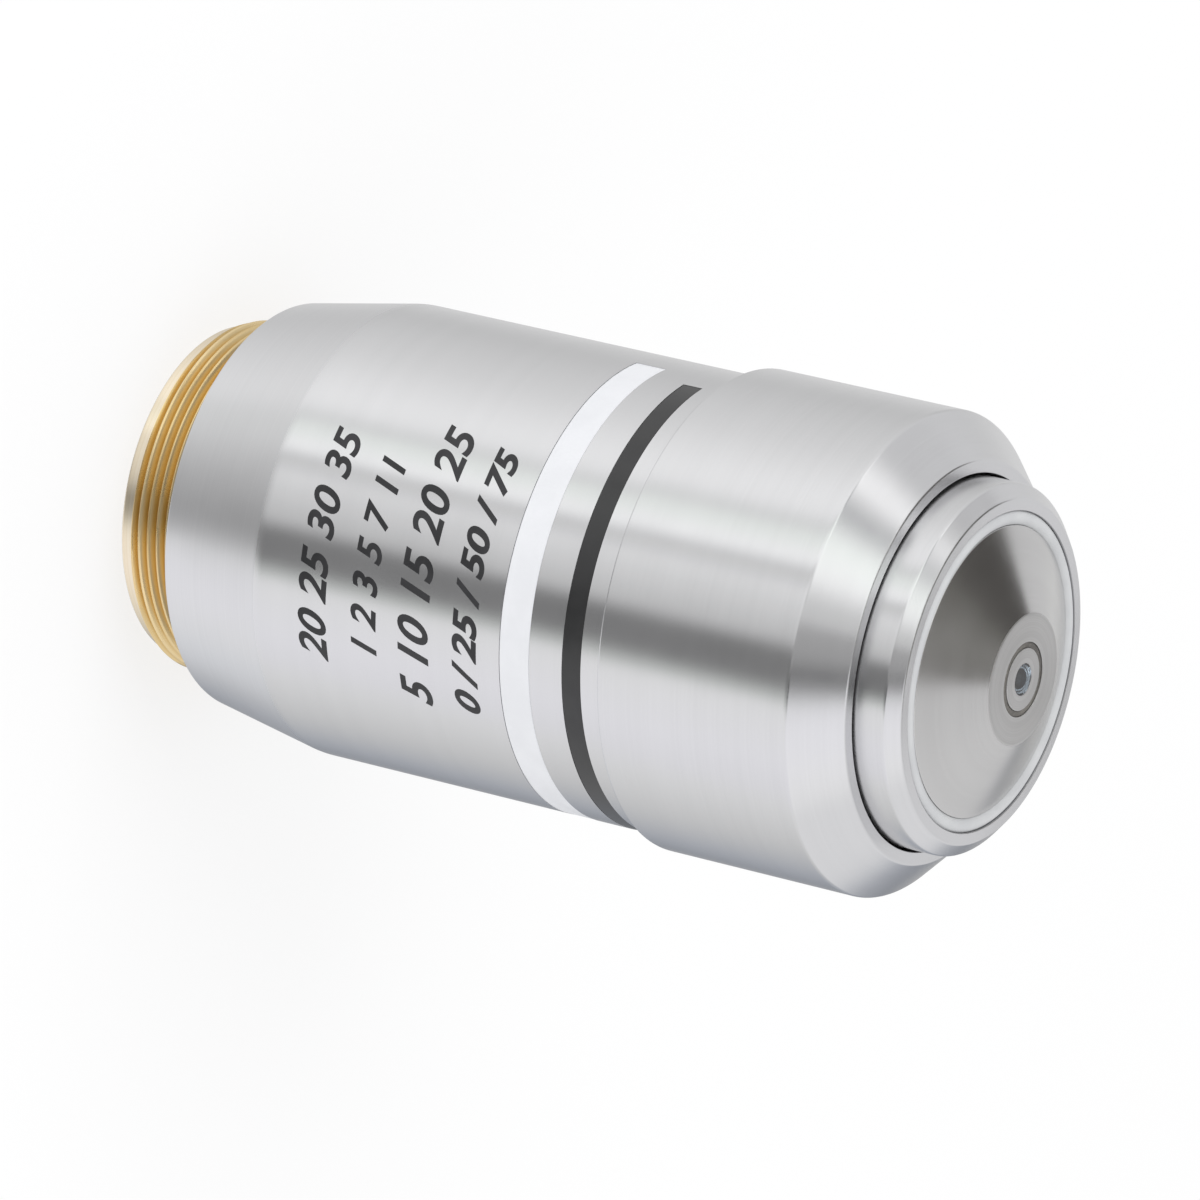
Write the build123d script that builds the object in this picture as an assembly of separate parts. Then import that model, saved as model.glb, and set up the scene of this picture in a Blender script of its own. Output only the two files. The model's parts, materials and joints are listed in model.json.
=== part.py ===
from build123d import *
import os
from math import copysign, cos, radians, sin, sqrt

# Oil-immersion microscope objective with a spring-loaded nose, in millimetres.
# It stands on its thread. Z = 0 is the mounting shoulder, +Z is the optical axis towards the specimen.

# Interface to the microscope
parfocal_length = 60.0  # shoulder to specimen
working_distance = 0.13  # specimen to tip
thread_r = 12.5  # M25 x 0.75, modelled at its major radius
thread_length = 5.4
thread_lead = 0.9  # plain land at the free end of the thread
thread_lead_step = 0.65  # the land is this much inside the thread
thread_relief = 0.8  # undercut below the shoulder
thread_relief_depth = 0.6
mount_wall = 1.65
mount_spigot_step = 0.5  # the spigot that screws into the barrel is this much inside the thread
mouth_clearance = 0.1  # the barrel's hole opens out this much wider than the thread at the shoulder
aperture_step = 1.6
aperture_thickness = 1.0

# Main barrel
shoulder_width = 1.92  # seating face outside the thread
rear_cone_length = 8.6
rear_cone_rise = 1.58
barrel_web = 5.0  # floor under the spring
neck_step = 0.8  # the neck carries the front sleeve
neck_wall = 1.6
neck_length = 11.3

# Colour bands, counted back from the front sleeve
band_groove = 0.1
band_sink = 0.02  # paint surface below the metal
immersion_band_inset = 1.8
immersion_band_width = 1.5
immersion_band_start = 207.5  # degrees about Z, from +X
immersion_band_arc = 256.0
band_spacing = 2.6
magnification_band_width = 2.4
magnification_band_start = 200.5
magnification_band_arc = 270.0

# Front sleeve
sleeve_step = 0.81  # the sleeve stands proud of the barrel
sleeve_length = 14.7  # straight part
sleeve_cone_length = 2.95
lip_width = 0.88
lip_gap = 0.2  # dark gap round the nose
lip_depth = 4.35  # from the front of the sleeve back to its stop face

# Lens barrel, the sliding piece that shows as the nose
travel = 2.0  # retraction when the tip meets a slide
slide_clearance = 0.05
relief_depth = 0.35
rear_land_length = 6.0
front_land_length = 9.5
nose_step = 0.77  # stop face between nose and slide bore
nose_protrusion = 3.1
nose_chamfer_length = 0.85
nose_chamfer_width = 0.96
nose_wall = 1.78
nose_bore_depth = 5.45
stack_web = 1.5  # shelf that the lens cells are clamped against
stack_web_width = 3.5
stack_step = 1.05  # from the nose bore in to the stack bore
tail_wall = 1.9
tail_length = 7.0
tail_gap = 1.0  # left behind the tail at full retraction

# Nose cap with the front lenses
seal_width = 0.99
cap_cone_length = 2.53
cap_rim_sink = 0.11  # foot of the cone below the nose face
cap_flange_length = 2.6
tip_r = 4.49
cap_stem_wall = 1.29
cap_seat_wall = 3.86
third_lens_depth = 2.7  # depth of the seat in the cap's back
seal_crown = 0.25
seal_drop = 0.2
front_cell_r = 2.16
cement_width = 0.43
cement_sink = 0.08
front_lens_r = 1.1
front_lens_sink = 0.02
front_lens_edge = 0.5
front_cell_length = 2.67
front_cell_flange = 1.1
front_cell_back_r = 2.0

# Spring
spring_wire_r = 0.4
spring_clearance = 0.3  # round the tail
spring_turns = 3  # between the two closed end coils
spring_coil_gap = 0.04

# Fits
screw_clearance = 0.02  # radial, between pieces screwed together
seat_clearance = 0.01  # radial, round glass in its seat
cement_film = 0.01
edge_break = 0.15
cut_overrun = 1.0  # how far a cut runs past the surface it opens

# Guide pin and its slot, on the side away from the lettering
guide_angle = 90.0
guide_pin_r = 0.9
guide_pin_inset = 5.3  # ahead of the sleeve's rear edge
guide_pin_reach = 1.2  # into the slot
guide_clearance = 0.05

# Centring screws of the triplet cell
centring_screw_count = 3
centring_screw_r = 0.8
centring_screw_start = 30.0

# Glass groups in the stack, from front to back. A bulge is how far the middle of a face
# stands in front of its edge, and there is one more bulge than there are glasses.
front_doublet = dict(length=6.1, inset=0.5, wall=2.98, lip=0.6, bulges=(1.2, -1.5, 0.5), glass=(3.1, 1.3))
triplet = dict(length=9.8, inset=0.6, wall=2.58, lip=0.7, bulges=(0.9, 1.6, -1.5, 0.4), glass=(1.4, 4.8, 1.4))
middle_doublet = dict(length=5.0, inset=0.6, wall=3.78, lip=0.6, bulges=(0.8, -0.9, 0.3), glass=(2.8, 1.2))
rear_doublet = dict(length=5.4, inset=1.2, wall=4.98, lip=0.5, bulges=(-0.6, 0.5, -0.6), glass=(1.2, 2.6))
second_lens = dict(bulges=(-0.35, -1.0), glass=1.5)
third_lens = dict(bulges=(-0.4, -1.5), glass=2.1)
front_spacer_length = 1.2
spacer_wall = 1.6
retaining_ring_length = 2.0
retaining_ring_width = 3.98
retaining_ring_inset = 2.0
spanner_slot = 1.6
spanner_slot_depth = 0.9
lens_retainer_length = 1.0
lens_retainer_hole = 0.84  # share of the lens radius left clear

# Radii that follow from the sizes above
thread_lead_r = thread_r - thread_lead_step
thread_relief_r = thread_r - thread_relief_depth
mount_spigot_r = thread_r - mount_spigot_step
mount_bore_r = thread_lead_r - mount_wall
aperture_r = mount_bore_r - aperture_step
shoulder_r = thread_r + shoulder_width
barrel_r = shoulder_r + rear_cone_rise
neck_r = barrel_r - neck_step
slide_bore_r = neck_r - neck_wall
sleeve_r = barrel_r + sleeve_step
nose_r = slide_bore_r - nose_step
lip_bore_r = nose_r + lip_gap
lip_r = lip_bore_r + lip_width
nose_bore_r = nose_r - nose_wall
cap_r = nose_bore_r - seal_width
stack_bore_r = nose_bore_r - stack_step
stack_web_hole_r = stack_bore_r - stack_web_width
cell_r = stack_bore_r - screw_clearance
retaining_ring_r = cell_r - retaining_ring_width
tail_r = stack_bore_r + tail_wall
spring_mean_r = tail_r + spring_clearance + spring_wire_r
cap_stem_bore_r = tip_r - cap_stem_wall
cap_seat_bore_r = cap_r - cap_seat_wall

# Levels along the axis that follow from the sizes above
tip_z = parfocal_length - working_distance
cap_rim_z = tip_z - cap_cone_length
nose_face_z = cap_rim_z + cap_rim_sink
sleeve_front_z = nose_face_z - nose_protrusion
sleeve_shoulder_z = sleeve_front_z - sleeve_cone_length
sleeve_rear_z = sleeve_shoulder_z - sleeve_length
neck_front_z = sleeve_rear_z + neck_length
stop_z = sleeve_front_z - lip_depth
guide_pin_z = sleeve_rear_z + guide_pin_inset
tail_z = barrel_web + travel + tail_gap
spring_seat_z = tail_z + tail_length
web_front_z = nose_face_z - nose_bore_depth
stack_front_z = web_front_z - stack_web
triplet_front_z = stack_front_z - front_doublet["length"]
front_spacer_z = triplet_front_z - triplet["length"]
middle_doublet_front_z = front_spacer_z - front_spacer_length
rear_spacer_z = middle_doublet_front_z - middle_doublet["length"]
retaining_ring_z = tail_z + retaining_ring_inset
rear_doublet_front_z = retaining_ring_z + retaining_ring_length + rear_doublet["length"]


def turned(*outline):
    """Revolve a closed outline of (radius, height) points about the optical axis."""
    return revolve(Plane.XZ * make_face(Polyline(*outline, close=True)), axis=Axis.Z)


def ring(inner_r, outer_r, low_z, high_z):
    """A plain ring or, with no inner radius, a disc."""
    return turned((inner_r, low_z), (outer_r, low_z), (outer_r, high_z), (inner_r, high_z))


def radial_pin(radius, inner_r, outer_r, height, angle):
    """A round pin that points out from the axis."""
    direction = Vector(cos(radians(angle)), sin(radians(angle)), 0)
    base = Plane(origin=direction * inner_r + Vector(0, 0, height), z_dir=direction)
    return extrude(base * Circle(radius), amount=outer_r - inner_r)


def bulge_at(radius, edge_r, bulge):
    """How far a spherical face with this bulge has dropped at the given radius."""
    curvature_r = (edge_r**2 + bulge**2) / (2 * abs(bulge))
    return copysign(curvature_r - sqrt(curvature_r**2 - radius**2), bulge)


def face_curve(vertex_z, edge_r, bulge):
    """The section of a spherical lens face, from the axis to its edge."""
    return TangentArc((0, vertex_z), (edge_r, vertex_z - bulge), tangent=(1, 0))


def lens(front_z, rear_z, edge_r, front_bulge, rear_bulge):
    """One glass with a ground cylindrical edge."""
    front = face_curve(front_z, edge_r, front_bulge)
    rear = face_curve(rear_z, edge_r, rear_bulge)
    outline = [front, rear, Line(front @ 1, rear @ 1), Line(rear @ 0, front @ 0)]
    return revolve(Plane.XZ * make_face(outline), axis=Axis.Z)


def glass_stack(name, cell_front_z, group):
    """The cell of a cemented group and its glasses, front glass first."""
    vertex_z = cell_front_z - group["inset"]
    edge_r = cell_r - group["wall"]
    clear_r = edge_r - group["lip"]
    bulges = group["bulges"]
    seat_bulge = min(bulge_at(clear_r, edge_r, bulges[0]), bulges[0])
    seat_z = vertex_z - seat_bulge
    cell_rear_z = cell_front_z - group["length"]
    bore_r = edge_r + seat_clearance
    pieces = {
        name + "_cell": turned(
            (bore_r, cell_rear_z),
            (cell_r, cell_rear_z),
            (cell_r, cell_front_z),
            (clear_r + edge_break, cell_front_z),
            (clear_r, cell_front_z - edge_break),
            (clear_r, seat_z),
            (bore_r, seat_z),
        )
    }
    for number, thickness in enumerate(group["glass"]):
        rear_z = vertex_z - thickness
        pieces[f"{name}_glass_{number + 1}"] = lens(
            vertex_z, rear_z + cement_film, edge_r, bulges[number], bulges[number + 1]
        )
        vertex_z = rear_z
    return pieces


def thread_mount():
    """Brass mount: thread outside, light aperture inside, spigot held in the barrel."""
    spigot_z = barrel_web - screw_clearance
    crest_chamfer = (thread_r - thread_lead_r) / 2
    return turned(
        (mount_bore_r + edge_break, -thread_length),
        (thread_lead_r - edge_break, -thread_length),
        (thread_lead_r, -thread_length + edge_break),
        (thread_lead_r, -thread_length + thread_lead),
        (thread_r, -thread_length + thread_lead + crest_chamfer),
        (thread_r, -thread_relief - crest_chamfer),
        (thread_relief_r, -thread_relief),
        (thread_relief_r, 0),
        (mount_spigot_r, 0),
        (mount_spigot_r, spigot_z),
        (aperture_r, spigot_z),
        (aperture_r, spigot_z - aperture_thickness),
        (mount_bore_r, spigot_z - aperture_thickness),
        (mount_bore_r, -thread_length + edge_break),
    )


def band(start, arc, front_z, width, inner_r, outer_r):
    """A ring sector that runs from one angle round the barrel."""
    place = Pos((inner_r + outer_r) / 2, front_z - width / 2)
    section = Plane.XZ * place * Rectangle(outer_r - inner_r, width)
    return Rot(0, 0, start) * revolve(section, axis=Axis.Z, revolution_arc=arc)


def band_places():
    """Name, start, arc, front edge and width of both colour bands."""
    immersion_z = sleeve_rear_z - immersion_band_inset
    magnification_z = immersion_z - immersion_band_width - band_spacing
    return (
        ("immersion_band", immersion_band_start, immersion_band_arc, immersion_z, immersion_band_width),
        (
            "magnification_band",
            magnification_band_start,
            magnification_band_arc,
            magnification_z,
            magnification_band_width,
        ),
    )


def main_barrel():
    """Outer barrel with the rear cone, the neck under the sleeve and the two band grooves."""
    hole_r = mount_spigot_r + screw_clearance
    mouth_r = thread_r + mouth_clearance
    barrel = turned(
        (hole_r, mouth_r - hole_r),
        (mouth_r, 0),
        (shoulder_r, 0),
        (barrel_r, rear_cone_length),
        (barrel_r, sleeve_rear_z),
        (neck_r, sleeve_rear_z),
        (neck_r, neck_front_z - edge_break),
        (neck_r - edge_break, neck_front_z),
        (slide_bore_r, neck_front_z),
        (slide_bore_r, barrel_web),
        (hole_r, barrel_web),
    )
    for _, start, arc, front_z, width in band_places():
        barrel -= band(start, arc, front_z, width, barrel_r - band_groove, barrel_r + band_groove)
    pin_hole_r = guide_pin_r + seat_clearance
    inside_r = slide_bore_r - cut_overrun
    return barrel - radial_pin(pin_hole_r, inside_r, neck_r + cut_overrun, guide_pin_z, guide_angle)


def front_sleeve():
    """Sleeve that screws over the neck and stops the nose at its lip."""
    thread_bore_r = neck_r + screw_clearance
    step_z = neck_front_z + edge_break
    return turned(
        (thread_bore_r, sleeve_rear_z),
        (sleeve_r - edge_break, sleeve_rear_z),
        (sleeve_r, sleeve_rear_z + edge_break),
        (sleeve_r, sleeve_shoulder_z),
        (lip_r, sleeve_front_z),
        (lip_bore_r, sleeve_front_z),
        (lip_bore_r, stop_z),
        (slide_bore_r, stop_z),
        (slide_bore_r, step_z),
        (thread_bore_r, step_z),
    )


def guide_pin():
    """Pin in the barrel's neck that keeps the lens barrel from turning."""
    inner_r = slide_bore_r - guide_pin_reach
    return radial_pin(guide_pin_r, inner_r, neck_r - screw_clearance, guide_pin_z, guide_angle)


def centring_screws():
    """Set screws that push the triplet cell sideways."""
    height = triplet_front_z - triplet["length"] / 2
    outer_r = slide_bore_r - relief_depth - slide_clearance - edge_break
    screws = []
    for number in range(centring_screw_count):
        angle = centring_screw_start + number * 360 / centring_screw_count
        screws.append(radial_pin(centring_screw_r, stack_bore_r, outer_r, height, angle))
    return screws


def lens_barrel():
    """Sliding barrel: nose in front, two guide lands, spring tail behind, stepped bore inside."""
    land_r = slide_bore_r - slide_clearance
    relief_r = land_r - relief_depth
    barrel = turned(
        (stack_bore_r, tail_z),
        (tail_r, tail_z),
        (tail_r, spring_seat_z),
        (land_r, spring_seat_z),
        (land_r, spring_seat_z + rear_land_length),
        (relief_r, spring_seat_z + rear_land_length + relief_depth),
        (relief_r, stop_z - front_land_length - relief_depth),
        (land_r, stop_z - front_land_length),
        (land_r, stop_z),
        (nose_r, stop_z),
        (nose_r, nose_face_z - nose_chamfer_length),
        (nose_r - nose_chamfer_width, nose_face_z),
        (nose_bore_r, nose_face_z),
        (nose_bore_r, web_front_z),
        (stack_web_hole_r, web_front_z),
        (stack_web_hole_r, stack_front_z),
        (stack_bore_r, stack_front_z),
    )
    slot_r = guide_pin_r + guide_clearance
    slot_floor_r = slide_bore_r - guide_pin_reach - guide_clearance
    outside_r = land_r + cut_overrun
    low = radial_pin(slot_r, slot_floor_r, outside_r, guide_pin_z, guide_angle)
    high = Pos(0, 0, travel) * low
    slot = Rot(0, 0, guide_angle) * Pos((slot_floor_r + outside_r) / 2, 0, guide_pin_z + travel / 2)
    barrel -= [low, high, slot * Box(outside_r - slot_floor_r, 2 * slot_r, travel)]
    height = triplet_front_z - triplet["length"] / 2
    for number in range(centring_screw_count):
        angle = centring_screw_start + number * 360 / centring_screw_count
        hole_r = centring_screw_r + seat_clearance
        barrel -= radial_pin(hole_r, stack_bore_r - cut_overrun, outside_r, height, angle)
    return barrel


def cap_levels():
    """Heights inside the nose cap: flange front, front cell back, stem bore back and lens seat."""
    flange_z = web_front_z + cap_flange_length
    cell_back_z = tip_z - front_cell_length
    seat_z = web_front_z + third_lens_depth
    return flange_z, cell_back_z, seat_z


def nose_cap():
    """Front cone: screwed into the nose, it holds the three front lenses."""
    flange_z, cell_back_z, seat_z = cap_levels()
    tip_hole_r = front_cell_r + cement_width
    shelf_z = cell_back_z + front_cell_flange
    return turned(
        (cap_seat_bore_r, web_front_z),
        (nose_bore_r - screw_clearance, web_front_z),
        (nose_bore_r - screw_clearance, flange_z),
        (cap_r, flange_z),
        (cap_r, cap_rim_z),
        (tip_r, tip_z),
        (tip_hole_r, tip_z),
        (tip_hole_r, shelf_z),
        (cap_stem_bore_r, shelf_z),
        (cap_stem_bore_r, seat_z),
        (cap_seat_bore_r, seat_z),
    )


def seal_ring():
    """Pale seal in the groove between the cone and the nose, with a crowned face."""
    flange_z = cap_levels()[0]
    inner_r = cap_r + seat_clearance
    outer_r = nose_bore_r - seat_clearance
    edge_z = nose_face_z - seal_drop
    corners = ((inner_r, edge_z), (inner_r, flange_z), (outer_r, flange_z), (outer_r, edge_z))
    crown = SagittaArc(corners[3], corners[0], -seal_crown)
    if crown.bounding_box().max.Y < edge_z + seal_crown / 2:
        crown = SagittaArc(corners[3], corners[0], seal_crown)
    return revolve(Plane.XZ * make_face([Polyline(*corners), crown]), axis=Axis.Z)


def front_cell():
    """Small steel cell that holds the front lens at the tip."""
    cell_back_z = cap_levels()[1]
    lens_back_z = tip_z - front_lens_sink - front_lens_edge
    shelf_z = cell_back_z + front_cell_flange
    return turned(
        (front_cell_back_r, cell_back_z),
        (cap_stem_bore_r - seat_clearance, cell_back_z),
        (cap_stem_bore_r - seat_clearance, shelf_z),
        (front_cell_r, shelf_z),
        (front_cell_r, tip_z),
        (front_lens_r + seat_clearance, tip_z),
        (front_lens_r + seat_clearance, lens_back_z),
        (front_lens_r + 2 * seat_clearance, lens_back_z),
    )


def cement_ring():
    """Set cement between the front cell and the tip, slightly below the face."""
    shelf_z = cap_levels()[1] + front_cell_flange
    outer_r = front_cell_r + cement_width
    return ring(front_cell_r + seat_clearance, outer_r - seat_clearance, shelf_z, tip_z - cement_sink)


def front_lens():
    """Hemispherical front lens with a short cylindrical edge."""
    face_z = tip_z - front_lens_sink
    edge_z = face_z - front_lens_edge
    dome = TangentArc((0, edge_z - front_lens_r), (front_lens_r, edge_z), tangent=(1, 0))
    rim = Polyline((front_lens_r, edge_z), (front_lens_r, face_z), (0, face_z), (0, edge_z - front_lens_r))
    return revolve(Plane.XZ * make_face([dome, rim]), axis=Axis.Z)


def single_lens_and_retainer(spec, seat_z, bore_r):
    """A meniscus against a seat in front of it, and the ring that clamps it from behind."""
    edge_r = bore_r - 2 * seat_clearance
    front_bulge, rear_bulge = spec["bulges"]
    front_z = seat_z + front_bulge
    rear_z = front_z - spec["glass"]
    hole_r = lens_retainer_hole * edge_r
    ring_z = rear_z - bulge_at(hole_r, edge_r, rear_bulge)
    glass = lens(front_z, rear_z, edge_r, front_bulge, rear_bulge)
    retainer = ring(hole_r, bore_r - seat_clearance, ring_z - lens_retainer_length, ring_z)
    return glass, retainer


def retaining_ring():
    """Threaded ring that clamps the whole stack, with two slots for a spanner."""
    body = ring(retaining_ring_r, cell_r, retaining_ring_z, retaining_ring_z + retaining_ring_length)
    slot = Box(2 * (stack_bore_r + cut_overrun), spanner_slot, 2 * spanner_slot_depth)
    return body - Pos(0, 0, retaining_ring_z) * slot


def spring():
    """Compression spring on the barrel's floor: tilted half turns, with a closed coil at each end."""
    closed_rise = spring_wire_r + spring_coil_gap / 2
    first_z = barrel_web + spring_wire_r
    active_height = spring_seat_z - spring_wire_r - first_z - 4 * closed_rise
    active_rise = active_height / (2 * spring_turns)
    rises = [closed_rise] * 2 + [active_rise] * (2 * spring_turns) + [closed_rise] * 2
    coil = []
    start = Vector(spring_mean_r, 0, first_z)
    way = Vector(0, 1, 0)
    for rise in rises:
        end = Vector(-start.X, 0, start.Z + rise)
        centre = (start + end) / 2
        section = Plane(origin=start, z_dir=way) * Circle(spring_wire_r)
        coil.append(revolve(section, axis=Axis(centre, (start - centre).cross(way)), revolution_arc=180))
        start = end
        way = -way
    return coil[0].fuse(*coil[1:])


def build():
    """Every piece by name."""
    _, cell_back_z, seat_z = cap_levels()
    second, second_retainer = single_lens_and_retainer(second_lens, cell_back_z, cap_stem_bore_r)
    third, third_retainer = single_lens_and_retainer(third_lens, seat_z, cap_seat_bore_r)
    bands = {
        name: band(start, arc, front_z, width, barrel_r - band_groove, barrel_r - band_sink)
        for name, start, arc, front_z, width in band_places()
    }
    return {
        "thread_mount": thread_mount(),
        "main_barrel": main_barrel(),
        **bands,
        "front_sleeve": front_sleeve(),
        "guide_pin": guide_pin(),
        "spring": spring(),
        "lens_barrel": lens_barrel(),
        "nose_cap": nose_cap(),
        "seal_ring": seal_ring(),
        "front_cell": front_cell(),
        "cement_ring": cement_ring(),
        "front_lens": front_lens(),
        "second_lens": second,
        "second_lens_retainer": second_retainer,
        "third_lens": third,
        "third_lens_retainer": third_retainer,
        **glass_stack("front_doublet", stack_front_z, front_doublet),
        **glass_stack("triplet", triplet_front_z, triplet),
        "centring_screws": Compound(children=centring_screws()),
        "front_spacer": ring(cell_r - spacer_wall, cell_r, middle_doublet_front_z, front_spacer_z),
        **glass_stack("middle_doublet", middle_doublet_front_z, middle_doublet),
        "rear_spacer": ring(cell_r - spacer_wall, cell_r, rear_doublet_front_z, rear_spacer_z),
        **glass_stack("rear_doublet", rear_doublet_front_z, rear_doublet),
        "retaining_ring": retaining_ring(),
    }


os.makedirs("parts", exist_ok=True)
for name, piece in build().items():
    export_step(piece, f"parts/{name}.step")
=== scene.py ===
import json
from math import atan2, cos, degrees, pi, radians, sin

import bmesh
import bpy
from mathutils import Matrix, Vector


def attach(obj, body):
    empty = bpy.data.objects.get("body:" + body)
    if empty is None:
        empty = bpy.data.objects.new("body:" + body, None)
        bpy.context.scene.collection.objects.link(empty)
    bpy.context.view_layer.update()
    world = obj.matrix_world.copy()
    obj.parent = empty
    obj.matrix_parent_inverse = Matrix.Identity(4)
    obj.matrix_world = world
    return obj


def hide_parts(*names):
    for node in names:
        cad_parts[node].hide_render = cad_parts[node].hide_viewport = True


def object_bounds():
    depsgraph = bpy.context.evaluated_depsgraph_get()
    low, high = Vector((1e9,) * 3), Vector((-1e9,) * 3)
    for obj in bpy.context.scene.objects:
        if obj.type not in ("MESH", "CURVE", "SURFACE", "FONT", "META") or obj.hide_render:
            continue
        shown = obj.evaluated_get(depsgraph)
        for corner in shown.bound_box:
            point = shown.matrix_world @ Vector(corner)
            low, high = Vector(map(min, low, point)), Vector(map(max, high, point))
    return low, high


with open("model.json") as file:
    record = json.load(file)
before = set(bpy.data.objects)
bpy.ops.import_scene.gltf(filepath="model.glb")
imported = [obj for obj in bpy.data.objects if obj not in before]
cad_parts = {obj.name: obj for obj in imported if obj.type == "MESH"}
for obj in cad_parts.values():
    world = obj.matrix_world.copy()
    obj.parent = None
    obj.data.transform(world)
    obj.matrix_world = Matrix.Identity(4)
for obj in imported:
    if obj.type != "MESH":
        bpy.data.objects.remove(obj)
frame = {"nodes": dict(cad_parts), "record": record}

cadBox = [list(corner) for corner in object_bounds()]
mm = 0.001  # the sizes below are in millimetres
up = Vector((0, 0, 1))
overshoot = 1.0  # how far a cutter passes the wall that it cuts


# node helpers

def addNode(tree, kind, inputs=None, **settings):
    node = tree.nodes.new(kind)
    for key, value in settings.items():
        setattr(node, key, value)
    for key, value in (inputs or {}).items():
        if isinstance(value, bpy.types.NodeSocket):
            tree.links.new(value, node.inputs[key])
        else:
            node.inputs[key].default_value = value
    return node


def calculate(tree, operation, first, second=0.0, third=0.0):
    inputs = {0: first, 1: second, 2: third}
    return addNode(tree, "ShaderNodeMath", inputs, operation=operation).outputs[0]


def multiply(tree, *factors):
    product = factors[0]
    for factor in factors[1:]:
        product = calculate(tree, "MULTIPLY", product, factor)
    return product


def rescale(tree, value, old, new):
    inputs = {"Value": value, "From Min": old[0], "From Max": old[1], "To Min": new[0], "To Max": new[1]}
    return addNode(tree, "ShaderNodeMapRange", inputs).outputs[0]


def blendIn(tree, value, low, high):
    # 0 below low, 1 above high, and a soft step between them
    inputs = {"Value": value, "From Min": low, "From Max": high}
    return addNode(tree, "ShaderNodeMapRange", inputs, interpolation_type="SMOOTHSTEP").outputs[0]


def blendOut(tree, value, low, high):
    return calculate(tree, "SUBTRACT", 1.0, blendIn(tree, value, low, high))


def between(tree, value, edges):
    # rises from the first edge to the second and falls from the third to the fourth
    return multiply(tree, blendIn(tree, value, *edges[:2]), blendOut(tree, value, *edges[2:]))


def opaque(colour):
    return (*colour, 1)


def mixColours(tree, factor, first, second, blend="MIX"):
    inputs = {0: factor, 6: first, 7: second}
    return addNode(tree, "ShaderNodeMix", inputs, data_type="RGBA", blend_type=blend).outputs[2]


def readPlace(tree):
    # the point on the surface, its distance from the axis and its level
    place = addNode(tree, "ShaderNodeTexCoord").outputs["Object"]
    split = addNode(tree, "ShaderNodeSeparateXYZ", {0: place})
    flat = addNode(tree, "ShaderNodeCombineXYZ", {0: split.outputs[0], 1: split.outputs[1]})
    distance = addNode(tree, "ShaderNodeVectorMath", {0: flat.outputs[0]}, operation="LENGTH")
    return place, distance.outputs["Value"], split.outputs[2]


def startGroup(name, inputs, outputs):
    group = bpy.data.node_groups.new(name, "ShaderNodeTree")
    for title, value in inputs.items():
        socket = group.interface.new_socket(title, in_out="INPUT", socket_type="NodeSocketFloat")
        socket.default_value = value
    for title in outputs:
        group.interface.new_socket(title, in_out="OUTPUT", socket_type="NodeSocketFloat")
    return group, addNode(group, "NodeGroupInput"), addNode(group, "NodeGroupOutput")


def startMaterial(name):
    material = bpy.data.materials.new(name)
    material.use_nodes = True
    tree = material.node_tree
    tree.nodes.clear()
    shader = addNode(tree, "ShaderNodeBsdfPrincipled")
    output = addNode(tree, "ShaderNodeOutputMaterial")
    tree.links.new(shader.outputs[0], output.inputs[0])
    return material, tree, shader


def addBump(tree, shader, strength, depth, height):
    inputs = {"Strength": strength, "Distance": depth * mm, "Height": height}
    bump = addNode(tree, "ShaderNodeBump", inputs)
    tree.links.new(bump.outputs[0], shader.inputs["Normal"])


# surface effects that several finishes share

def makeTurningGroup():
    # fine lathe marks that run round the axis, in rings on a face and in bands on a cylinder
    inputs = {"Lines per metre": 9000.0, "Fade": 0.5}
    group, source, target = startGroup("latheMarks", inputs, ("Height", "Tone", "Wear"))
    linesPerMetre, fade = source.outputs[0], source.outputs[1]
    place, radius, level = readPlace(group)
    section = addNode(group, "ShaderNodeCombineXYZ", {0: radius, 1: level}).outputs[0]
    fine = addNode(
        group, "ShaderNodeTexNoise",
        {"Vector": section, "Scale": linesPerMetre, "Detail": 3.0, "Roughness": 0.7},
        noise_dimensions="2D",
    ).outputs["Fac"]
    broadScale = calculate(group, "MULTIPLY", linesPerMetre, 0.09)
    broad = addNode(
        group, "ShaderNodeTexNoise",
        {"Vector": section, "Scale": broadScale, "Detail": 2.0},
        noise_dimensions="2D",
    ).outputs["Fac"]
    cloud = addNode(
        group, "ShaderNodeTexNoise",
        {"Vector": place, "Scale": 260.0, "Detail": 4.0, "Roughness": 0.6},
    ).outputs["Fac"]
    height = multiply(group, fine, calculate(group, "MULTIPLY_ADD", cloud, fade, 0.5))
    tone = calculate(group, "MULTIPLY_ADD", broad, 0.4, calculate(group, "MULTIPLY", fine, 0.6))
    for index, value in enumerate((height, tone, cloud)):
        group.links.new(value, target.inputs[index])
    return group


def makeGrainGroup():
    # soft bumps and small specks for enamel, moulded plastic and cement
    inputs = {"Scale": 2500.0, "Speck share": 0.3}
    group, source, target = startGroup("fineGrain", inputs, ("Height", "Specks", "Cloud"))
    scale, speckShare = source.outputs[0], source.outputs[1]
    place = addNode(group, "ShaderNodeTexCoord").outputs["Object"]
    peel = addNode(group, "ShaderNodeTexNoise", {"Vector": place, "Scale": scale, "Detail": 3.0})
    dotScale = calculate(group, "MULTIPLY", scale, 1.7)
    dots = addNode(group, "ShaderNodeTexVoronoi", {"Vector": place, "Scale": dotScale})
    specks = blendOut(group, dots.outputs["Distance"], 0.0, speckShare)
    cloud = addNode(group, "ShaderNodeTexNoise", {"Vector": place, "Scale": 350.0, "Detail": 3.0})
    for index, value in enumerate((peel.outputs["Fac"], specks, cloud.outputs["Fac"])):
        group.links.new(value, target.inputs[index])
    return group


latheMarks = makeTurningGroup()
fineGrain = makeGrainGroup()
noiseSpan = (0.3, 0.7)  # where nearly all of a noise's values lie
toneSpan = (0.36, 0.64)  # the same for the tone of the lathe marks
grainDepth = 0.01
coatRoughness = 0.2
print("surface effects ready")


# finishes

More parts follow.
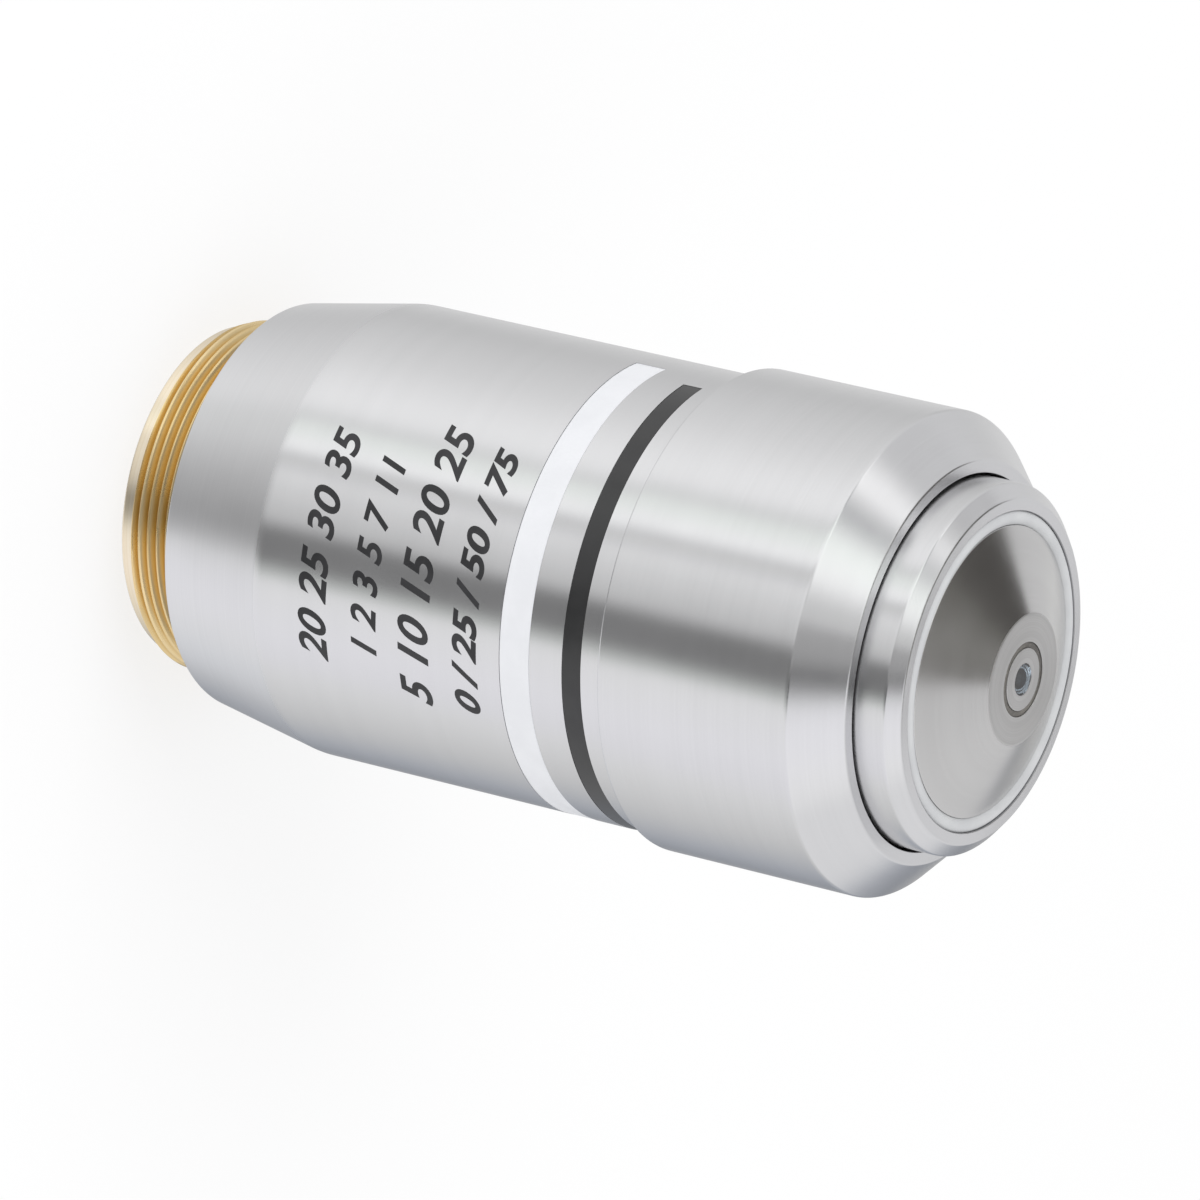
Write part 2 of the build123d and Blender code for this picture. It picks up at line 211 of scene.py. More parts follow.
def turnedMetal(name, look):
    # machined metal whose highlights stretch across the lathe marks
    material, tree, shader = startMaterial(name)
    marks = addNode(
        tree, "ShaderNodeGroup", {0: look["linesPerMetre"], 1: look["fade"]}, node_tree=latheMarks,
    )
    toneMask = blendIn(tree, marks.outputs["Tone"], *toneSpan)
    colour = mixColours(tree, toneMask, opaque(look["darkColour"]), opaque(look["lightColour"]))
    if "rootShadeColour" in look:
        # painted shade: the thread's roots get a darker gold than its crests
        _, radius, _ = readPlace(tree)
        crest = blendIn(tree, radius, look["rootRadius"] * mm, look["crestRadius"] * mm)
        colour = mixColours(tree, crest, opaque(look["rootShadeColour"]), colour)
    tree.links.new(colour, shader.inputs["Base Color"])
    rough = rescale(tree, marks.outputs["Wear"], noiseSpan, look["roughness"])
    tree.links.new(rough, shader.inputs["Roughness"])
    addBump(tree, shader, look["bump"], look["markDepth"], marks.outputs["Height"])
    shader.inputs["Metallic"].default_value = 1.0
    shader.inputs["Anisotropic"].default_value = look["stretch"]
    if look["stretch"]:
        shader.inputs["Anisotropic Rotation"].default_value = 0.25
        around = addNode(tree, "ShaderNodeTangent", direction_type="RADIAL", axis="Z")
        tree.links.new(around.outputs[0], shader.inputs["Tangent"])
    return material


def grainy(name, look):
    # enamel, moulded plastic, cement and printing paint
    material, tree, shader = startMaterial(name)
    grain = addNode(tree, "ShaderNodeGroup", {0: look["scale"], 1: look["speckShare"]}, node_tree=fineGrain)
    cloud = blendIn(tree, grain.outputs["Cloud"], *noiseSpan)
    colour = mixColours(tree, cloud, opaque(look["darkColour"]), opaque(look["lightColour"]))
    speck = calculate(tree, "MULTIPLY", grain.outputs["Specks"], look["speckStrength"])
    colour = mixColours(tree, speck, colour, opaque(look["speckColour"]))
    tree.links.new(colour, shader.inputs["Base Color"])
    rough = rescale(tree, grain.outputs["Cloud"], noiseSpan, look["roughness"])
    tree.links.new(rough, shader.inputs["Roughness"])
    addBump(tree, shader, look["bump"], grainDepth, grain.outputs["Height"])
    shader.inputs["Coat Weight"].default_value = look["coat"]
    shader.inputs["Coat Roughness"].default_value = coatRoughness
    return material


def polishedGlass(name, look):
    material, tree, shader = startMaterial(name)
    cloud = addNode(tree, "ShaderNodeGroup", node_tree=fineGrain).outputs["Cloud"]
    # the glass's tint, a pale coating tint for the inner lenses and a dark tint for the front lens, which
    # is painted shade
    tintAndShade = mixColours(tree, cloud, opaque(look["darkColour"]), opaque(look["lightColour"]))
    tree.links.new(tintAndShade, shader.inputs["Base Color"])
    tree.links.new(rescale(tree, cloud, (0.0, 1.0), (0.0, look["haze"])), shader.inputs["Roughness"])
    shader.inputs["Transmission Weight"].default_value = 1.0
    shader.inputs["IOR"].default_value = look["ior"]
    return material


# mesh helpers

def finishPiece(name, bm, body, slotName, replaced=(), materials=(), sharpAngle=32):
    bmesh.ops.remove_doubles(bm, verts=bm.verts, dist=0.0002 * mm)
    bmesh.ops.recalc_face_normals(bm, faces=bm.faces)
    mesh = bpy.data.meshes.new(name)
    bm.to_mesh(mesh)
    bm.free()
    mesh.shade_smooth()
    mesh.set_sharp_from_angle(angle=radians(sharpAngle))
    for material in materials:
        mesh.materials.append(material)
    piece = bpy.data.objects.new(name, mesh)
    bpy.context.scene.collection.objects.link(piece)
    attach(piece, body)
    if replaced:
        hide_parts(*replaced)
    print("made", name, len(mesh.polygons), "faces")
    return piece


def drawOutline(outline, closed=True, hold=0.04):
    # a section in the XZ plane; a corner's third number is its rounding, the fourth its segments
    bm = bmesh.new()
    corners = [bm.verts.new((corner[0] * mm, 0, corner[1] * mm)) for corner in outline]
    for first, second in zip(corners, corners[1:] + corners[:1] if closed else corners[1:]):
        bm.edges.new((first, second))
    for vert, corner in zip(corners, outline):
        if len(corner) > 2:
            bmesh.ops.bevel(
                bm, geom=[vert], offset=corner[2] * mm, segments=corner[3] if len(corner) > 3 else 4,
                affect="VERTICES", profile=0.5, material=-1,
            )
    # a holding point near both ends of every long line keeps the flats flat in the shading
    for edge in [edge for edge in bm.edges if edge.calc_length() > 8 * hold * mm]:
        start, end = edge.verts
        _, near = bmesh.utils.edge_split(edge, start, hold * mm / edge.calc_length())
        rest = next(link for link in near.link_edges if end in link.verts)
        bmesh.utils.edge_split(rest, end, hold * mm / rest.calc_length())
    return bm


def spinOutline(bm, turn=2 * pi, steps=256, start=0.0):
    turned = Matrix.Rotation(start, 3, "Z")
    bmesh.ops.rotate(bm, verts=bm.verts, cent=(0, 0, 0), matrix=turned)
    whole = abs(turn - 2 * pi) < 1e-6
    bmesh.ops.spin(
        bm, geom=bm.verts[:] + bm.edges[:], cent=(0, 0, 0), axis=up, dvec=(0, 0, 0),
        angle=turn, steps=steps, use_merge=whole,
    )
    if not whole:
        ends = [edge for edge in bm.edges if edge.is_boundary]
        bmesh.ops.holes_fill(bm, edges=ends, sides=0)
    return bm


def paintFaces(bm, choose):
    # the material of each face, by its distance from the axis and its level in millimetres
    for face in bm.faces:
        centre = face.calc_center_median()
        face.material_index = choose(Vector(centre[:2]).length / mm, centre.z / mm)


def azimuth(point):
    return degrees(atan2(point.y, point.x)) % 360


def radialCutter(radius, innerR, outerR, height, angle, stretch=0.0):
    # a round bar that points out from the axis; its upper half moves up where it cuts a slot
    bm = bmesh.new()
    bmesh.ops.create_cone(
        bm, cap_ends=True, segments=32, radius1=radius * mm, radius2=radius * mm,
        depth=(outerR - innerR) * mm,
    )
    bmesh.ops.rotate(bm, verts=bm.verts, cent=(0, 0, 0), matrix=Matrix.Rotation(pi / 2, 3, "Y"))
    upper = [vert for vert in bm.verts if vert.co.z > 0.001 * mm]
    bmesh.ops.translate(bm, verts=upper, vec=(0, 0, stretch * mm))
    bmesh.ops.translate(bm, verts=bm.verts, vec=((innerR + outerR) / 2 * mm, 0, height * mm))
    turned = Matrix.Rotation(radians(angle), 3, "Z")
    bmesh.ops.rotate(bm, verts=bm.verts, cent=(0, 0, 0), matrix=turned)
    mesh = bpy.data.meshes.new("cutter")
    bm.to_mesh(mesh)
    bm.free()
    cutter = bpy.data.objects.new("cutter", mesh)
    bpy.context.scene.collection.objects.link(cutter)
    return cutter


def cutHoles(piece, cutters):
    # takes each cutter's shape out of the piece for good
    for cutter in cutters:
        hole = piece.modifiers.new("hole", "BOOLEAN")
        hole.operation = "DIFFERENCE"
        hole.solver = "EXACT"
        hole.object = cutter
    graph = bpy.context.evaluated_depsgraph_get()
    cut = bpy.data.meshes.new_from_object(piece.evaluated_get(graph), depsgraph=graph)
    piece.modifiers.clear()
    uncut = piece.data
    bm = bmesh.new()
    bm.from_mesh(cut)
    bmesh.ops.remove_doubles(bm, verts=bm.verts, dist=0.0005 * mm)
    bmesh.ops.dissolve_degenerate(bm, edges=bm.edges, dist=0.0005 * mm)
    bm.to_mesh(cut)
    bm.free()
    piece.data = cut
    bpy.data.meshes.remove(uncut)
    for cutter in cutters:
        bpy.data.objects.remove(cutter)


# brass mount

mountLook = {
    "pitch": 0.75, "crestR": 12.5, "crestDrop": 0.03, "rootR": 12.05, "flatShare": 0.16,
    "threadLow": -4.5, "threadHigh": -0.8, "runOut": 0.1, "runOutSlope": 1.5, "stepsPerTurn": 192,
    "landR": 11.85, "reliefR": 11.9, "spigotR": 12.0, "spigotEnd": 4.98,
    "boreR": 10.2, "apertureR": 8.6, "aperture": 3.98, "rearEnd": -5.4, "edge": 0.15,
}
threadBrass = turnedMetal("threadBrass", {
    # rootShadeColour is painted shade in the thread's roots
    "darkColour": (0.80, 0.60, 0.30), "lightColour": (0.90, 0.72, 0.42), "rootShadeColour": (0.70, 0.49, 0.20),
    "rootRadius": 12.08, "crestRadius": 12.46, "linesPerMetre": 14000.0, "fade": 0.5,
    "roughness": (0.24, 0.34), "bump": 0.25, "markDepth": 0.004, "stretch": 0.0,
})
paleBrass = turnedMetal("paleBrass", {
    "darkColour": (0.86, 0.74, 0.55), "lightColour": (0.92, 0.82, 0.66), "linesPerMetre": 11000.0,
    "fade": 0.5, "roughness": (0.26, 0.36), "bump": 0.3, "markDepth": 0.004, "stretch": 0.4,
})


def windThread():
    # a right-hand thread climbs as it turns anticlockwise seen from above
    look = mountLook
    pitch, root, crest = look["pitch"], look["rootR"], look["crestR"]
    low, high, steps = look["threadLow"], look["threadHigh"], look["stepsPerTurn"]
    flat = look["flatShare"] * pitch / 2
    slope = (pitch - 2 * flat) / 2
    shoulder = crest - look["crestDrop"]
    section = [
        (root, 0.0), (shoulder, slope), (crest, slope + flat), (shoulder, slope + 2 * flat), (root, pitch),
    ]
    bm = bmesh.new()
    chain = [bm.verts.new((r * mm, 0, (low - 2 * pitch + z) * mm)) for r, z in section]
    edges = [bm.edges.new(pair) for pair in zip(chain, chain[1:])]
    bmesh.ops.subdivide_edges(bm, edges=[edges[0], edges[-1]], cuts=4)
    turns = int((high - low) / pitch) + 4
    bmesh.ops.spin(
        bm, geom=bm.verts[:] + bm.edges[:], cent=(0, 0, 0), axis=up,
        dvec=(0, 0, pitch / steps * mm), angle=2 * pi * turns, steps=steps * turns,
    )
    for vert in bm.verts:  # both ends run out in a chamfer and close on a level ring
        across = Vector(vert.co[:2])
        below, above = vert.co.z / mm - low, high - vert.co.z / mm
        room = min(below, above)
        end = look["landR"] if below < above else look["reliefR"]
        reach = end * mm
        if room > 0:
            reach = min(across.length, (end + look["runOut"] + look["runOutSlope"] * room) * mm)
        across *= reach / across.length
        vert.co = Vector((across.x, across.y, min(max(vert.co.z, low * mm), high * mm)))
    return bm


def makeMount():
    look = mountLook
    low, high = look["threadLow"], look["threadHigh"]
    bm = windThread()
    core = drawOutline([
        (look["reliefR"], high), (look["reliefR"], 0.0), (look["spigotR"], 0.0),
        (look["spigotR"], look["spigotEnd"]), (look["apertureR"], look["spigotEnd"]),
        (look["apertureR"], look["aperture"]), (look["boreR"], look["aperture"]),
        (look["boreR"], look["rearEnd"], look["edge"]), (look["landR"], look["rearEnd"], look["edge"]),
        (look["landR"], low),
    ], closed=False)
    spinOutline(core, steps=look["stepsPerTurn"])
    coreMesh = bpy.data.meshes.new("mountCore")
    core.to_mesh(coreMesh)
    core.free()
    bm.from_mesh(coreMesh)
    bpy.data.meshes.remove(coreMesh)
    wallMiddle = (look["boreR"] + look["landR"]) / 2
    paintFaces(bm, lambda reach, level: 0 if low < level < high and reach > wallMiddle else 1)
    finishes = [threadBrass, paleBrass]
    finishPiece("mountWithThread", bm, "barrel", "turned_brass", ["thread_mount"], finishes, sharpAngle=40)


# chrome barrel and its two colour bands

chrome = turnedMetal("satinChrome", {
    "darkColour": (0.715, 0.715, 0.725), "lightColour": (0.73, 0.73, 0.74), "linesPerMetre": 9000.0,
    "fade": 0.6, "roughness": (0.22, 0.25), "bump": 0.03, "markDepth": 0.002, "stretch": 0.85,
})
coneChrome = turnedMetal("mattChrome", {
    "darkColour": (0.71, 0.71, 0.72), "lightColour": (0.73, 0.73, 0.74), "linesPerMetre": 8000.0,
    "fade": 0.6, "roughness": (0.28, 0.33), "bump": 0.04, "markDepth": 0.002, "stretch": 0.5,
})
innerSteel = turnedMetal("boreSteel", {
    "darkColour": (0.40, 0.40, 0.41), "lightColour": (0.55, 0.55, 0.56), "linesPerMetre": 6000.0,
    "fade": 0.5, "roughness": (0.35, 0.45), "bump": 0.3, "markDepth": 0.006, "stretch": 0.3,
})
whiteEnamel = grainy("whiteEnamel", {
    "darkColour": (0.82, 0.83, 0.86), "lightColour": (0.86, 0.87, 0.90),
    "speckColour": (0.8, 0.8, 0.82), "speckStrength": 0.1, "speckShare": 0.25, "scale": 2200.0,
    "roughness": (0.42, 0.5), "bump": 0.15, "coat": 0.1,
})
blackEnamel = grainy("blackEnamel", {
    "darkColour": (0.012, 0.012, 0.013), "lightColour": (0.02, 0.02, 0.021),
    "speckColour": (0.05, 0.05, 0.05), "speckStrength": 0.2, "speckShare": 0.2, "scale": 2600.0,
    "roughness": (0.3, 0.36), "bump": 0.25, "coat": 0.3,
})
barrelLook = {
    "radius": 16.0, "shoulderR": 14.42, "shoulderRounding": 0.12, "coneLength": 8.6, "coneRounding": 0.35,
    "mouthR": 12.6, "holeR": 12.02, "boreR": 13.6, "boreFloor": 5.0,
    "sleeveRear": 36.70, "neckR": 15.2, "neckEnd": 48.0, "mattEnd": 8.4,
    "pinHoleR": 0.91, "pinLevel": 42.0, "pinAzimuth": 90.0,
    "grooveDepth": 0.1, "paintSink": 0.02, "paintGap": 0.03,
}
bandLooks = {
    "magnification_band": {
        "name": "whiteBand", "slot": "white_enamel", "paint": whiteEnamel,
        "low": 28.4, "high": 30.8, "start": 200.5, "arc": 270.0,
    },
    "immersion_band": {
        "name": "blackBand", "slot": "black_enamel", "paint": blackEnamel,
        "low": 33.4, "high": 34.9, "start": 207.5, "arc": 256.0,
    },
}


def sinkGroove(bm, band):
    # the paint's groove: the faces inside the arc move in by the groove's depth
    look = barrelLook

    def wall():
        faces = []
        for face in bm.faces:
            centre = face.calc_center_median()
            outer = Vector(centre[:2]).length > (look["radius"] - look["grooveDepth"] / 2) * mm
            if outer and band["low"] < centre.z / mm < band["high"]:
                faces.append(face)
        return faces

    for angle in (band["start"], band["start"] + band["arc"]):
        faces = wall()
        parts = set(faces)
        for face in faces:
            parts.update(face.verts)
            parts.update(face.edges)
        across = Vector((-sin(radians(angle)), cos(radians(angle)), 0))
        bmesh.ops.bisect_plane(bm, geom=list(parts), plane_co=(0, 0, 0), plane_no=across, dist=0.001 * mm)
    painted = [
        face for face in wall() if (azimuth(face.calc_center_median()) - band["start"]) % 360 < band["arc"]
    ]
    moved = bmesh.ops.extrude_face_region(bm, geom=painted)
    for part in moved["geom"]:
        if isinstance(part, bmesh.types.BMVert):
            flat = Vector(part.co[:2])
            flat *= 1 - look["grooveDepth"] * mm / flat.length
            part.co.x, part.co.y = flat
    left = [face for face in painted if face.is_valid]
    bmesh.ops.delete(bm, geom=left, context="FACES_ONLY")


def makeBarrel():
    look = barrelLook
    radius = look["radius"]
    bandEdges = [(radius, band[key]) for band in bandLooks.values() for key in ("low", "high")]
    bm = drawOutline([
        (look["holeR"], look["mouthR"] - look["holeR"]), (look["mouthR"], 0.0),
        (look["shoulderR"], 0.0, look["shoulderRounding"]),
        (radius, look["coneLength"], look["coneRounding"]),
        *bandEdges,
        (radius, look["sleeveRear"], 0.05), (look["neckR"], look["sleeveRear"]),
        (look["neckR"], look["neckEnd"], 0.15), (look["boreR"], look["neckEnd"]),
        (look["boreR"], look["boreFloor"]), (look["holeR"], look["boreFloor"]),
    ])
    spinOutline(bm)
    for band in bandLooks.values():
        sinkGroove(bm, band)
    outerR = (look["boreR"] + look["shoulderR"]) / 2
    paintFaces(bm, lambda reach, level: 2 if reach <= outerR else 1 if level < look["mattEnd"] else 0)
    finishes = [chrome, coneChrome, innerSteel]
    barrel = finishPiece("chromeBarrel", bm, "barrel", "satin_chrome", ["main_barrel"], finishes)
    pin = (look["pinLevel"], look["pinAzimuth"])
    cutHoles(barrel, [radialCutter(look["pinHoleR"], look["boreR"] - overshoot, radius + overshoot, *pin)])


def makeBands():
    look = barrelLook
    gap = look["paintGap"]
    outer = look["radius"] - look["paintSink"]
    inner = look["radius"] - look["grooveDepth"]
    for node, band in bandLooks.items():
        low, high = band["low"] + gap, band["high"] - gap
        bm = drawOutline([(inner, low), (outer, low, 0.015, 2), (outer, high, 0.015, 2), (inner, high)])
        start = radians(band["start"]) + gap / look["radius"]
        turn = radians(band["arc"]) - 2 * gap / look["radius"]
        spinOutline(bm, turn, int(band["arc"] / 1.4), start)
        finishPiece(band["name"], bm, "barrel", band["slot"], [node], [band["paint"]])


# front sleeve

sleeveLook = {
    "rear": 36.70, "radius": 16.81, "coneStart": 51.40, "front": 54.35, "faceR": 13.91,
    "lipR": 13.03, "lipRear": 50.0, "slideR": 13.6, "neckSeat": 48.15, "neckR": 15.22,
    # plain steel inside the first radius up to the level, and inside the second above it
    "steelR": 15.3, "steelEnd": 53.0, "lipSteelR": 13.05,
}


def makeSleeve():
    look = sleeveLook
    bm = spinOutline(drawOutline([
        (look["neckR"], look["rear"]), (look["radius"], look["rear"], 0.12),
        (look["radius"], look["coneStart"], 0.14), (look["faceR"], look["front"], 0.1),
        (look["lipR"], look["front"], 0.06), (look["lipR"], look["lipRear"]),
        (look["slideR"], look["lipRear"]), (look["slideR"], look["neckSeat"]),
        (look["neckR"], look["neckSeat"]),
    ]))

    def choose(reach, level):
        steelR = look["steelR"] if level < look["steelEnd"] else look["lipSteelR"]
        return 1 if reach < steelR else 0

    paintFaces(bm, choose)
    finishPiece("frontSleeve", bm, "barrel", "satin_chrome", ["front_sleeve"], [chrome, innerSteel])


# number rows on the barrel

numberLook = {
    "proud": 0.006, "sunk": 0.03, "slant": 0.32, "stripWidth": 0.3,
    # text, first and last azimuth, level of the tops, level of the feet, weight of the strokes
    "rows": [
        ("20 25 30 35", 307.0, 247.0, 12.1, 14.4, 0.022),
        ("1 2 3 5 7 11", 302.0, 252.0, 16.4, 18.5, 0.022),
        ("5 10 15 20 25", 313.0, 240.0, 20.2, 22.7, 0.022),
        ("0 / 25 / 50 / 75", 312.0, 243.0, 24.6, 26.6, 0.032),
    ],
}
numberPaint = grainy("numberPaint", {
    "darkColour": (0.014, 0.014, 0.016), "lightColour": (0.03, 0.03, 0.033),
    "speckColour": (0.09, 0.09, 0.09), "speckStrength": 0.25, "speckShare": 0.25, "scale": 4200.0,
    "roughness": (0.38, 0.5), "bump": 0.3, "coat": 0.0,
})


def writeFlat(words, weight):
    # the text as a flat mesh
    curve = bpy.data.curves.new("numbers", "FONT")
    curve.body = words
    curve.shear = numberLook["slant"]
    curve.offset = weight
    curve.resolution_u = 6
    writing = bpy.data.objects.new("numbers", curve)
    bpy.context.scene.collection.objects.link(writing)
    graph = bpy.context.evaluated_depsgraph_get()
    mesh = bpy.data.meshes.new_from_object(writing.evaluated_get(graph), depsgraph=graph)
    bpy.data.objects.remove(writing)
    bm = bmesh.new()
    bm.from_mesh(mesh)
    bpy.data.meshes.remove(mesh)
    bmesh.ops.remove_doubles(bm, verts=bm.verts, dist=1e-5)
    return bm


def makeNumbers():
    look = numberLook
    radius = barrelLook["radius"] * mm
    proud, thickness = look["proud"] * mm, (look["sunk"] + look["proud"]) * mm
    for index, (words, first, last, top, foot, weight) in enumerate(look["rows"]):
        bm = writeFlat(words, weight)
        xs = [vert.co.x for vert in bm.verts]
        ys = [vert.co.y for vert in bm.verts]
        width = radians(first - last) * radius
        height = (foot - top) * mm
        bmesh.ops.translate(bm, verts=bm.verts, vec=(-min(xs), -min(ys), 0))
        scale = (width / (max(xs) - min(xs)), height / (max(ys) - min(ys)), 1)
        bmesh.ops.scale(bm, verts=bm.verts, vec=scale)
        strips = int(width / (look["stripWidth"] * mm))
        for strip in range(1, strips):
            parts = bm.verts[:] + bm.edges[:] + bm.faces[:]
            place = (width * strip / strips, 0, 0)
            bmesh.ops.bisect_plane(bm, geom=parts, plane_co=place, plane_no=(1, 0, 0))
        body = bmesh.ops.extrude_face_region(bm, geom=bm.faces[:], use_keep_orig=True)
        for vert in (part for part in body["geom"] if isinstance(part, bmesh.types.BMVert)):
            vert.co.z = -thickness
        for vert in bm.verts:  # the flat row is wound onto the barrel, tops towards the thread
            angle = radians(first) - vert.co.x / radius
            reach = radius + proud + vert.co.z
            vert.co = Vector((reach * cos(angle), reach * sin(angle), foot * mm - vert.co.y))
        finishPiece(f"numberRow{index + 1}", bm, "barrel", "black_enamel", (), [numberPaint])


# sliding nose and its tip

coneSteel = turnedMetal("noseConeSteel", {
    "darkColour": (0.61, 0.605, 0.6), "lightColour": (0.63, 0.625, 0.62), "linesPerMetre": 7000.0,
    "fade": 0.7, "roughness": (0.2, 0.24), "bump": 0.05, "markDepth": 0.002, "stretch": 0.5,
})
tipSteel = turnedMetal("tipSteel", {
    "darkColour": (0.58, 0.575, 0.57), "lightColour": (0.66, 0.655, 0.65), "linesPerMetre": 12000.0,
    "fade": 0.7, "roughness": (0.4, 0.48), "bump": 0.3, "markDepth": 0.005, "stretch": 0.2,
})
paleSeal = grainy("paleSeal", {
    "darkColour": (0.58, 0.59, 0.605), "lightColour": (0.64, 0.65, 0.66),
    "speckColour": (0.56, 0.56, 0.56), "speckStrength": 0.15, "speckShare": 0.25, "scale": 3200.0,
    "roughness": (0.45, 0.55), "bump": 0.3, "coat": 0.1,
})
setCement = grainy("setCement", {
    "darkColour": (0.09, 0.085, 0.08), "lightColour": (0.17, 0.16, 0.145),
    "speckColour": (0.5, 0.48, 0.44), "speckStrength": 0.8, "speckShare": 0.35, "scale": 5200.0,
    "roughness": (0.6, 0.8), "bump": 1.0, "coat": 0.0,
})
lensGlass = polishedGlass("lensGlass", {
    "darkColour": (0.80, 0.88, 0.92), "lightColour": (0.90, 0.93, 0.97), "haze": 0.02, "ior": 1.6,
})
# painted shade: the front lens glass is tinted dark to stand for the dark inside of the objective seen
# through it
frontGlassShadeTint = polishedGlass("frontGlassShadeTint", {
    "darkColour": (0.14, 0.17, 0.20), "lightColour": (0.20, 0.24, 0.28), "haze": 0.02, "ior": 1.6,
})
noseLook = {
    "stackR": 10.0, "tailR": 11.9, "tailEnd": 8.0, "landR": 13.55, "landStart": 15.0,
    "waistR": 13.2, "waistLow": 21.0, "waistHigh": 40.5, "stop": 50.0,
    "wallR": 12.83, "wallEnd": 56.60, "faceR": 11.87, "front": 57.45, "capR": 11.05,
    "shelfR": 6.5, "shelfRear": 50.5, "shelf": 52.0,
    "slotR": 0.95, "slotFloorR": 12.35, "slotLength": 2.0,
    "screwR": 0.81, "screwLevel": 39.5, "screwAzimuth": 30.0,
    "chromeR": 11.1, "chromeStart": 49.0,
}
tipLook = {
    "tip": 59.87, "cellSeat": 58.3,
    "cap": {
        "rearR": 6.2, "outerR": 11.03, "coneR": 10.06, "coneStart": 57.34, "tipR": 4.49,
        "cementR": 2.59, "boreR": 3.2, "innerFace": 54.7, "finerStart": 59.8,
    },
    "seal": {"innerR": 10.07, "outerR": 11.04, "seat": 54.6, "shoulder": 57.25, "crown": 57.93},
    "cell": {
        "rear": 57.2, "rearR": 2.0, "flangeR": 3.19, "tubeR": 2.16, "lensR": 1.11,
        "lip": 59.35, "lipR": 1.13,
    },
    "cement": {"innerR": 2.17, "outerR": 2.58, "top": 59.79},
    "lens": {"radius": 1.10, "rear": 58.25, "front": 59.85, "rounding": 1.095},
}


def makeNose():
    look = noseLook
    taper = look["landR"] - look["waistR"]
    bm = spinOutline(drawOutline([
        (look["stackR"], look["tailEnd"]), (look["tailR"], look["tailEnd"], 0.1),
        (look["tailR"], look["landStart"]), (look["landR"], look["landStart"], 0.1),
        (look["landR"], look["waistLow"]), (look["waistR"], look["waistLow"] + taper),
        (look["waistR"], look["waistHigh"] - taper), (look["landR"], look["waistHigh"]),
        (look["landR"], look["stop"]), (look["wallR"], look["stop"]),
        (look["wallR"], look["wallEnd"], 0.1), (look["faceR"], look["front"], 0.08),
        (look["capR"], look["front"], 0.05), (look["capR"], look["shelf"]),
        (look["shelfR"], look["shelf"]), (look["shelfR"], look["shelfRear"]),
        (look["stackR"], look["shelfRear"]),
    ]))
    chromeR, chromeStart = look["chromeR"], look["chromeStart"]
    paintFaces(bm, lambda reach, level: 0 if reach > chromeR and level > chromeStart else 1)
    nose = finishPiece("slidingNose", bm, "nose", "satin_chrome", ["lens_barrel"], [chrome, innerSteel])
    inside, outside = look["stackR"] - overshoot, look["landR"] + overshoot
    pin = (barrelLook["pinLevel"], barrelLook["pinAzimuth"])
    cutters = [radialCutter(look["slotR"], look["slotFloorR"], outside, *pin, look["slotLength"])]
    for number in range(3):
        angle = look["screwAzimuth"] + 120 * number
        cutters.append(radialCutter(look["screwR"], inside, outside, look["screwLevel"], angle))
    cutHoles(nose, cutters)


def makeCap():
    tip, seat, look = tipLook["tip"], tipLook["cellSeat"], tipLook["cap"]
    base, sealSeat = noseLook["shelf"], tipLook["seal"]["seat"]
    bm = spinOutline(drawOutline([
        (look["rearR"], base), (look["outerR"], base), (look["outerR"], sealSeat),
        (look["coneR"], sealSeat), (look["coneR"], look["coneStart"], 0.04), (look["tipR"], tip, 0.06),
        (look["cementR"], tip, 0.03), (look["cementR"], seat), (look["boreR"], seat),
        (look["boreR"], look["innerFace"]), (look["rearR"], look["innerFace"]),
    ]))
    paintFaces(bm, lambda reach, level: 1 if level > look["finerStart"] else 0)
    finishPiece("noseCone", bm, "nose", "satin_steel", ["nose_cap"], [coneSteel, tipSteel])


def makeSeal():
    look = tipLook["seal"]
    middle = (look["innerR"] + look["outerR"]) / 2
    bm = spinOutline(drawOutline([
        (look["innerR"], look["seat"]), (look["outerR"], look["seat"]), (look["outerR"], look["shoulder"]),
        (middle, look["crown"], 0.82, 10), (look["innerR"], look["shoulder"]),
    ]))
    finishPiece("sealRing", bm, "nose", "pale_seal", ["seal_ring"], [paleSeal])


def makeFrontLens():
    tip, seat = tipLook["tip"], tipLook["cellSeat"]
    cell, cement, lens = tipLook["cell"], tipLook["cement"], tipLook["lens"]
    bm = spinOutline(drawOutline([
        (cell["rearR"], cell["rear"]), (cell["flangeR"], cell["rear"]), (cell["flangeR"], seat),
        (cell["tubeR"], seat), (cell["tubeR"], tip, 0.04), (cell["lensR"], tip, 0.03),
        (cell["lensR"], cell["lip"]), (cell["lipR"], cell["lip"]),
    ]), steps=128)
    finishPiece("frontCell", bm, "nose", "satin_steel", ["front_cell"], [tipSteel])

    bm = spinOutline(drawOutline([
        (cement["innerR"], seat), (cement["outerR"], seat),
        (cement["outerR"], cement["top"], 0.05), (cement["innerR"], cement["top"], 0.05),
    ]), steps=128)
    finishPiece("cementFill", bm, "nose", "set_cement", ["cement_ring"], [setCement])

    # half a section from axis to axis, so the spin closes the lens at both poles
    bm = spinOutline(drawOutline([
        (0.0, lens["rear"]), (lens["radius"], lens["rear"], lens["rounding"], 10),
        (lens["radius"], lens["front"], 0.02), (0.0, lens["front"]),
    ], closed=False), steps=96)
    finishPiece("frontLens", bm, "nose", "optical_glass", ["front_lens"], [frontGlassShadeTint])


# inner pieces keep their CAD meshes and get a finish each

